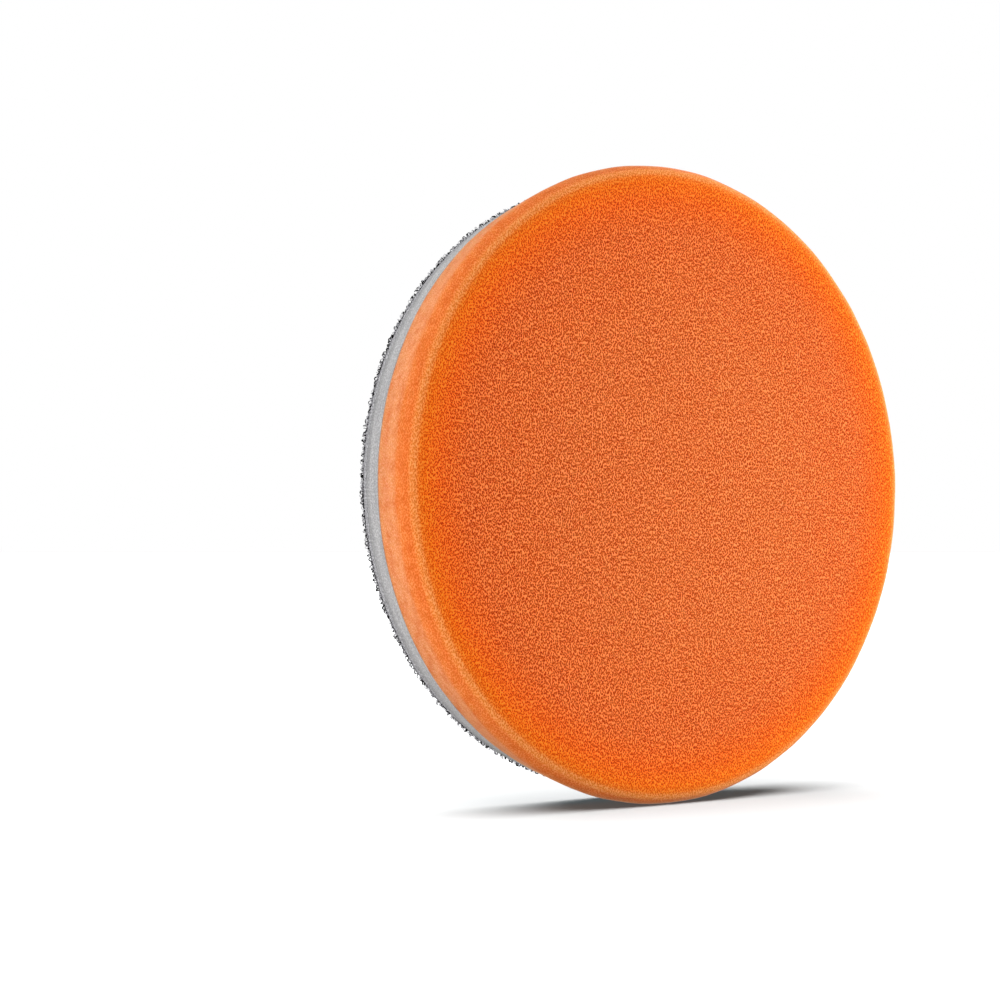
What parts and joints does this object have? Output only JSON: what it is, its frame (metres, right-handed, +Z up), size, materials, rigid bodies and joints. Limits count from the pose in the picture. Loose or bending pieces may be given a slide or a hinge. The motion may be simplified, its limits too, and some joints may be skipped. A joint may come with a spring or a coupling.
{
  "type": "polishing pad",
  "caption": "Round foam polishing pad with a flat orange working face, rounded rim, tapered wall, gray foam interlayer and black hook-and-loop backing.",
  "frame": {"origin": "centre of the loop face, where the pad meets a polisher's backing plate", "axes": "Y is the pad's axis of revolution: +Y is the loop face's outward normal, and -Y is the way the orange working face looks; +Z is up, with the pad on edge"},
  "size_m": [0.165, 0.027, 0.165],
  "materials": {
    "orange_foam": "open-cell polyurethane foam, fine pored, matte",
    "gray_foam": "open-cell polyurethane foam, fine pored, matte, cut edge",
    "pale_ply": "thin pale foam-backed ply, cut edge",
    "bond_film": "thin laminating film seen edge on",
    "loop_ground": "knitted polyester ground, raw cut edge with mixed black and pale yarn",
    "loop_black": "brushed nylon loop pile, deep black"
  },
  "bodies": {
    "root": {"working_foam": "orange_foam", "foam_bond": "bond_film", "interlayer_foam": "gray_foam", "backing_bond": "bond_film", "backing_ply": "pale_ply", "loop_cloth": "loop_ground", "loop_pile": "loop_black"}
  },
  "joints": []
}
